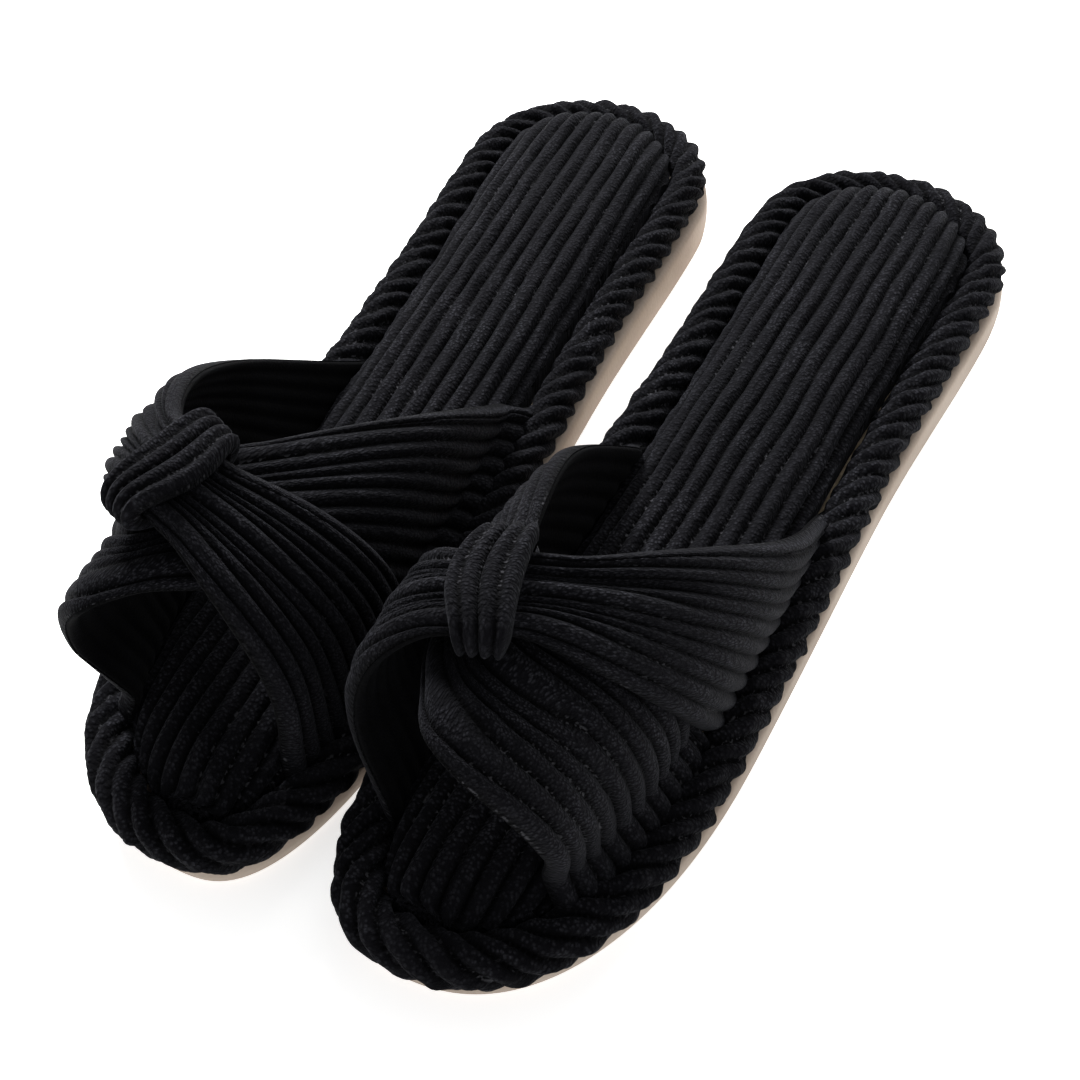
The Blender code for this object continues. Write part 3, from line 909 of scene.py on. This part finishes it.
@dataclass
class Band:
    """One of the two crossed bands: a padded corduroy face and a lining behind it."""

    arch: Arch
    crossing: Crossing
    rear_half: float = 0.0335
    front_half: float = 0.0235
    rear_fan: float = 0.6
    front_fan: float = 0.45
    fan_ease: float = 0.10
    waist_reach: float = 0.10
    thickness: float = 0.0031
    lining: float = 0.0008
    wales: int = 11
    wale_height: float = 0.0016
    edge_roll: float = 0.0030
    hem: float = 0.0034
    puff: float = 0.0016
    pleat: float = 0.0016
    crease: float = 0.0024
    over_waist: float = 0.0100
    under_waist: float = 0.0205
    under_forward: float = 0.0040
    under_drop: float = 0.0037
    knot_drop: float = 0.0083
    cross_dip: tuple[float, float] = (0.94, 0.09)
    knot_dip: tuple[float, float] = (0.80, 0.55)
    gather: float = 0.085
    wander: float = 0.10
    wale_level: float = 0.6
    thinnest: float = 0.0008
    lining_gap: float = 0.0002
    lining_edge: float = 0.985
    rows: int = 150
    samples: int = 10

    @property
    def waist(self) -> float:
        """Half width where the loop gathers the bands."""
        return self.over_waist if self.crossing is Crossing.OVER else self.under_waist

    @property
    def rear_is_outer(self) -> bool:
        """Whether the band's rear end is on the slipper's outer side."""
        return self.crossing is Crossing.OVER

    def half_width(self, travel: Array) -> Array:
        """Half width at each place along the band."""
        end = np.where(travel < 0, self.rear_half, self.front_half)
        reach = np.clip((np.abs(travel) - self.waist_reach) / (1 - self.waist_reach), 0.0, 1.0)
        power = np.where(travel < 0, self.rear_fan, self.front_fan) / 2
        start = self.fan_ease ** (2 * power)
        fan = (reach ** 2 + self.fan_ease ** 2) ** power - start
        return self.waist + (end - self.waist) * fan / ((1 + self.fan_ease ** 2) ** power - start)

    def dip(self, travel: Array) -> Array:
        """How far the under band drops to pass below the other band and its loop."""
        if self.crossing is Crossing.OVER:
            return np.zeros_like(travel)
        away = np.abs(travel)
        at_cross = smoothstep((self.cross_dip[0] - away) / self.cross_dip[1])
        at_knot = smoothstep((self.knot_dip[0] - away) / self.knot_dip[1])
        return self.under_drop * at_cross + (self.knot_drop - self.under_drop) * at_knot

    def middle(self, travel: Array, across: Array) -> tuple[Array, Array]:
        """The band's middle surface.

        Args:
            travel: place along the band, -1 rear end to 1 front end.
            across: place across it, -1 to 1.

        Returns:
            Points, and unit normals pointing out of the arch.
        """
        y = self.arch.centre(travel) + self.half_width(travel) * across
        if self.crossing is Crossing.UNDER:
            y = y - self.under_forward * np.exp(-(travel / 0.5) ** 2)
        on_outer = (travel < 0) == self.rear_is_outer
        points = self.arch.point(1.0 - np.abs(travel), y, on_outer)
        normals = self._out(grid_normals(points))
        points = points - normals * self.dip(travel)[..., None]
        return points, self._out(grid_normals(points))

    def _out(self, normals: Array) -> Array:
        """Make a field of normals point out of the arch."""
        row, column = normals.shape[0] // 2, normals.shape[1] // 2
        return normals if normals[row, column, 2] > 0 else -normals

    def _gathered(self, travel: Array, across: Array) -> Array:
        """Place across the cloth, where pleats at the knot hide part of its width."""
        near = np.exp(-(travel / 0.34) ** 2)
        return across - near * self.gather * np.sin(3 * np.pi * across)

    def _ribs(self, travel: Array, across: Array, half: Array) -> tuple[Array, Array]:
        """The wales of the band's face, which run along it and end in a hem at its rear edge.

        Args:
            travel: place along the band.
            across: place across it.
            half: the band's half width there.

        Returns:
            Each point's wale, from 0 in a groove to 1 on a crest, and the height of a wale there.
        """
        seed = {Crossing.OVER: 51, Crossing.UNDER: 61}[self.crossing] + self.arch.form.side.value
        wander = self.wander * ripple(travel * 2.2, across * 1.3, seed)
        cloth = self._gathered(travel, across)
        wale = ridge((cloth + 1) / 2 * self.wales + wander * (1 - across ** 2), 0.66)
        uneven = 1 + 0.15 * ripple(travel * 5, across * 5, seed + 7)
        height = self.wale_height * (1 - 0.30 * self._near_knot(travel)) * uneven
        from_rear = (1 - across) * half
        at_hem = from_rear < self.hem
        wale = np.where(at_hem, ridge(from_rear / self.hem, 0.66), wale)
        return wale, np.where(at_hem, self.wale_height * 0.75, height)

    def _near_knot(self, travel: Array) -> Array:
        """How much the loop's pull is felt along the band, 1 under the loop."""
        return np.exp(-(travel / 0.30) ** 2)

    def _folds(self, travel: Array, across: Array) -> Array:
        """How far the padding swells between the loop and the feet, less the pleats at the loop."""
        swell = self.puff * np.sin(np.pi * np.clip(np.abs(travel), 0, 1)) * (1 - across ** 2)
        folds = -self.pleat * self._near_knot(travel) * (1 - np.cos(3 * np.pi * across)) / 2
        if self.crossing is Crossing.OVER:
            crease = np.exp(-((across - 0.30) / 0.10) ** 2) * np.exp(-((travel + 0.22) / 0.13) ** 2)
            folds = folds - self.crease * crease
        return swell + folds

    def build_face(self, material: bpy.types.Material) -> bpy.types.Object:
        """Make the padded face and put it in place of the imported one.

        Args:
            material: its finish.

        Returns:
            The band's face.
        """
        form = self.arch.form
        count = self.wales * self.samples + 1
        lines = np.linspace(-1, 1, count)
        lines = np.sign(lines) * (1 - (1 - np.abs(lines)) ** 1.15)
        travel, across = np.meshgrid(np.linspace(-1, 1, self.rows), lines, indexing="ij")
        points, normals = self.middle(travel, across)
        half = self.half_width(travel)
        wale, height = self._ribs(travel, across, half)
        top = self.thickness / 2 + (wale - self.wale_level) * height + self._folds(travel, across)
        bottom = -self.thickness / 2 + self.lining
        inside = np.clip((1 - np.abs(across)) * half / self.edge_roll, 0.0, 1.0)
        rounding = np.sqrt(np.clip(1 - (1 - inside) ** 2, 0.0, 1.0))
        top = bottom + np.maximum(top - bottom, self.thinnest) * rounding
        outer = points + normals * top[..., None]
        inner = points + normals * bottom
        cloth = self._gathered(travel, across)
        weave = np.stack([cloth * 0.033, travel * 0.075, 0 * travel], axis=-1)
        vertices = np.concatenate([outer, inner[:, 1:-1][:, ::-1]], axis=1)
        # The inner side takes wale 0, the groove colour's painted shade.
        wale_round = np.concatenate([wale, 0 * wale[:, 1:-1]], axis=1)
        weave_round = np.concatenate([weave, weave[:, 1:-1][:, ::-1]], axis=1)
        faces = capped_tube(self.rows, vertices.shape[1])
        node = form.side.prefix + self.crossing.value
        band = Piece(node + "_corduroy", form.to_frame(vertices.reshape(-1, 3)), faces, wale_round.ravel(),
                     weave_round.reshape(-1, 3)).make(material)
        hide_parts(node)
        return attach(band, form.side.body)

    def build_lining(self, material: bpy.types.Material) -> bpy.types.Object:
        """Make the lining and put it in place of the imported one.

        Args:
            material: its finish.

        Returns:
            The lining.
        """
        form = self.arch.form
        lines = np.linspace(-self.lining_edge, self.lining_edge, self.wales * 6 + 1)
        travel, across = np.meshgrid(np.linspace(-1, 1, self.rows), lines, indexing="ij")
        points, normals = self.middle(travel, across)
        wale = ridge((self._gathered(travel, across) + 1) / 2 * self.wales, 0.9)
        low = -self.thickness / 2 - 0.0006 * (wale - 0.5)
        outer = points + normals * (low + self.lining - self.lining_gap)[..., None]
        inner = points + normals * low[..., None]
        vertices = np.concatenate([outer, inner[:, ::-1]], axis=1)
        faces = capped_tube(self.rows, vertices.shape[1])
        node = form.side.prefix + self.crossing.value + "_lining"
        cloth = Piece(node + "_cloth", form.to_frame(vertices.reshape(-1, 3)), faces).make(material)
        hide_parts(node)
        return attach(cloth, form.side.body)


@dataclass
class KnotLoop:
    """The short loop that gathers the over band where the bands cross."""

    band: Band
    width: float = 0.0138
    thickness: float = 0.0024
    clearance: float = 0.0008
    pinch: float = 0.18
    bow: float = 0.0020
    turn: float = 0.30
    wales: int = 4
    wale_height: float = 0.0013
    bulge: float = 0.0006
    squareness: float = 2.6
    waist_slack: float = 0.002
    yarn_length: float = 0.07
    rows: int = 31
    around: int = 120

    def _section(self, half: float, radius: float) -> tuple[Array, Array]:
        """A flat oval in the loop's own plane.

        Args:
            half: half length of its straight runs.
            radius: radius of its round ends.

        Returns:
            Points of the oval, and their outward directions.
        """
        turn = np.linspace(0, 2 * np.pi, self.around, endpoint=False)
        power = 2 / self.squareness
        reach = (half + radius) * np.sign(np.cos(turn)) * np.abs(np.cos(turn)) ** power
        rise = radius * np.sign(np.sin(turn)) * np.abs(np.sin(turn)) ** power
        oval = even_ring(np.column_stack([reach, rise]), self.around)
        tangent = ring_tangents(oval)
        return oval, np.column_stack([tangent[:, 1], -tangent[:, 0]])

    def _bed(self, travel: Array) -> tuple[Array, Array]:
        """The over band's middle line under the loop, and its normals square to the y axis."""
        near = np.stack([travel - 0.01, travel, travel + 0.01])
        arch = self.band.arch
        line = arch.point(1.0 - np.abs(near), arch.centre(near), (near < 0) == self.band.rear_is_outer)
        along = (line[2] - line[0])[:, [0, 2]]
        along /= np.linalg.norm(along, axis=1)[:, None]
        normal = np.column_stack([-along[:, 1], np.zeros(len(along)), along[:, 0]])
        return line[1], normal * np.sign(normal[:, 2])[:, None]

    def build(self, material: bpy.types.Material) -> bpy.types.Object:
        """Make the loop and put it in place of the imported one.

        Args:
            material: its finish.

        Returns:
            The loop.
        """
        band, form = self.band, self.band.arch.form
        radius = band.thickness / 2 + self.clearance
        oval, out = self._section(band.waist - self.waist_slack, radius)
        travel_per_metre = (1 - band.arch.foot_share) / (form.ball_outer * math.pi / 2)
        top = np.clip(oval[:, 1] / radius, 0, 1)
        aside = (oval[:, 0] / np.abs(oval[:, 0]).max()) ** 2
        pinch = 1 - self.pinch * aside
        bow = self.bow * (1 - aside)
        share = np.linspace(-1, 1, self.rows)
        sideways = np.array([-math.sin(self.turn), math.cos(self.turn), 0.0])
        layers = []
        for row, outside in [(row, True) for row in share] + [(row, False) for row in share[::-1][1:-1]]:
            travel = (self.width / 2 * row * pinch + bow) * travel_per_metre
            middle, normal = self._bed(travel)
            # Inner layers take wale 0, the groove colour's painted shade.
            wale = float(ridge(np.array((row + 1) / 2 * self.wales), 0.7)) if outside else 0.0
            edge = math.sqrt(max(0.0, 1 - max(0.0, (abs(row) - 0.75) / 0.25) ** 2))
            rise = (self.thickness + (wale - 0.4) * self.wale_height) * edge * outside
            place = oval + out * (rise + self.bulge * top * outside)[:, None]
            aslant = sideways - normal * (normal @ sideways)[:, None]
            points = middle + place[:, :1] * aslant + place[:, 1:] * normal
            layers.append((points, wale, row))
        grid = np.stack([points for points, _, _ in layers])
        wales = np.repeat([wale for _, wale, _ in layers], self.around)
        run = np.arange(self.around) / self.around * self.yarn_length
        weave = np.stack([np.stack([np.full(self.around, row * self.width / 2), run, 0 * run], axis=-1)
                          for _, _, row in layers])
        closed = np.concatenate([grid, grid[:1]])
        faces = quads(len(closed), self.around, closed=True) % (len(grid) * self.around)
        name = form.side.prefix + "knot_loop"
        loop = Piece(name + "_corduroy", form.to_frame(grid.reshape(-1, 3)), faces.tolist(), wales,
                     weave.reshape(-1, 3)).make(material)
        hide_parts(name)
        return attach(loop, form.side.body)


@dataclass
class Slipper:
    """One whole slipper."""

    side: Side
    finishes: dict[str, bpy.types.Material]

    def build(self) -> None:
        """Make every visible piece of the slipper."""
        form = SoleForm(self.side)
        arch = Arch(form)
        over = Band(arch, Crossing.OVER)
        under = Band(arch, Crossing.UNDER)
        corduroy, lining = self.finishes["corduroy"], self.finishes["lining"]
        made = [
            Outsole(form).build(self.finishes["sole"]),
            Footbed(form).build(corduroy),
            RopeRim(form).build(corduroy),
            under.build_lining(lining),
            under.build_face(corduroy),
            over.build_lining(lining),
            over.build_face(corduroy),
            KnotLoop(over).build(corduroy),
        ]
        for piece in made:
            LOG.info("%s: %d faces", piece.name, len(piece.data.polygons))

    def dress_inner_pieces(self) -> None:
        """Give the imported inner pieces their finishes."""
        for node, finish in (("insole_board", "board"), ("foam_pad", "foam"), ("rim_cord", "cord"),
                             ("seam_thread", "thread")):
            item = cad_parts[self.side.prefix + node]
            item.data.materials.clear()
            item.data.materials.append(self.finishes[finish])
            LOG.info("%s: dressed in %s", item.name, finish)


# ----------------------------------------------------------------------- studio
@dataclass
class Studio:
    """The plain floor, the soft lights and the camera."""

    eye: tuple[float, float, float] = (0.0969, -0.2204, 0.2487)
    aim: tuple[float, float, float] = (0.0080, -0.0366, 0.0200)
    lens: float = 47.4
    floor_reach: float = 4.0
    floor_drop: float = 0.0001

    def build(self) -> None:
        """Set out the studio."""
        self._floor()
        self._light("key", (-0.50, 0.40, 0.62), 0.30, 17.0)
        self._light("fill", (0.75, -0.55, 0.60), 0.80, 0.5)
        self._light("back", (0.10, 0.85, 0.55), 0.60, 4.0)
        self._surroundings(0.50)
        self._camera()

    def _floor(self) -> None:
        """Lay the floor."""
        mesh = bpy.data.meshes.new("floor")
        reach = self.floor_reach
        corners = [(-reach, -reach, 0), (reach, -reach, 0), (reach, reach, 0), (-reach, reach, 0)]
        mesh.from_pydata(corners, [], [(0, 1, 2, 3)])
        floor = bpy.data.objects.new("floor", mesh)
        floor.location.z = -self.floor_drop
        mesh.materials.append(FloorPaint().make())
        bpy.context.scene.collection.objects.link(floor)

    def _light(self, name: str, place: tuple[float, float, float], size: float, watts: float) -> None:
        """Hang a soft square light that faces the slippers.

        Args:
            name: the light's name.
            place: where it hangs.
            size: its side.
            watts: its power.
        """
        data = bpy.data.lights.new(name, "AREA")
        data.size = size
        data.energy = watts
        light = bpy.data.objects.new(name, data)
        light.location = place
        light.rotation_euler = (-Vector(place)).to_track_quat("-Z", "Y").to_euler()
        bpy.context.scene.collection.objects.link(light)

    def _surroundings(self, strength: float) -> None:
        """Light the room evenly."""
        world = bpy.data.worlds.new("studio")
        world.use_nodes = True
        background = world.node_tree.nodes["Background"]
        background.inputs["Color"].default_value = (1.0, 1.0, 1.0, 1.0)
        background.inputs["Strength"].default_value = strength
        bpy.context.scene.world = world

    def _camera(self) -> None:
        """Set up the camera."""
        data = bpy.data.cameras.new("camera")
        data.lens = self.lens
        data.sensor_width = 36.0
        data.clip_start = 0.01
        camera = bpy.data.objects.new("camera", data)
        camera.location = self.eye
        camera.rotation_euler = (Vector(self.aim) - Vector(self.eye)).to_track_quat("-Z", "Y").to_euler()
        bpy.context.scene.collection.objects.link(camera)
        bpy.context.scene.camera = camera


def main() -> None:
    """Build the pair of slippers and their studio."""
    logging.basicConfig(level=logging.INFO, format="%(message)s")
    finishes = {
        "corduroy": Corduroy().make(),
        "lining": Lining().make(),
        "sole": FoamRubber().make(),
        "board": PlainFill("fibre_board", (0.22, 0.17, 0.11), (0.36, 0.29, 0.20), 900.0).make(),
        "foam": PlainFill("soft_foam", (0.50, 0.48, 0.40), (0.66, 0.64, 0.56), 1400.0).make(),
        "cord": PlainFill("filler_cord", (0.55, 0.53, 0.48), (0.74, 0.72, 0.66), 700.0).make(),
        "thread": PlainFill("sewing_thread", (0.008, 0.008, 0.010), (0.030, 0.030, 0.036), 2500.0,
                            rough=0.6).make(),
    }
    for side in Side:
        slipper = Slipper(side, finishes)
        slipper.build()
        slipper.dress_inner_pieces()
    Studio().build()
    bpy.context.scene.view_settings.view_transform = "Standard"


if __name__ == "__main__":
    main()
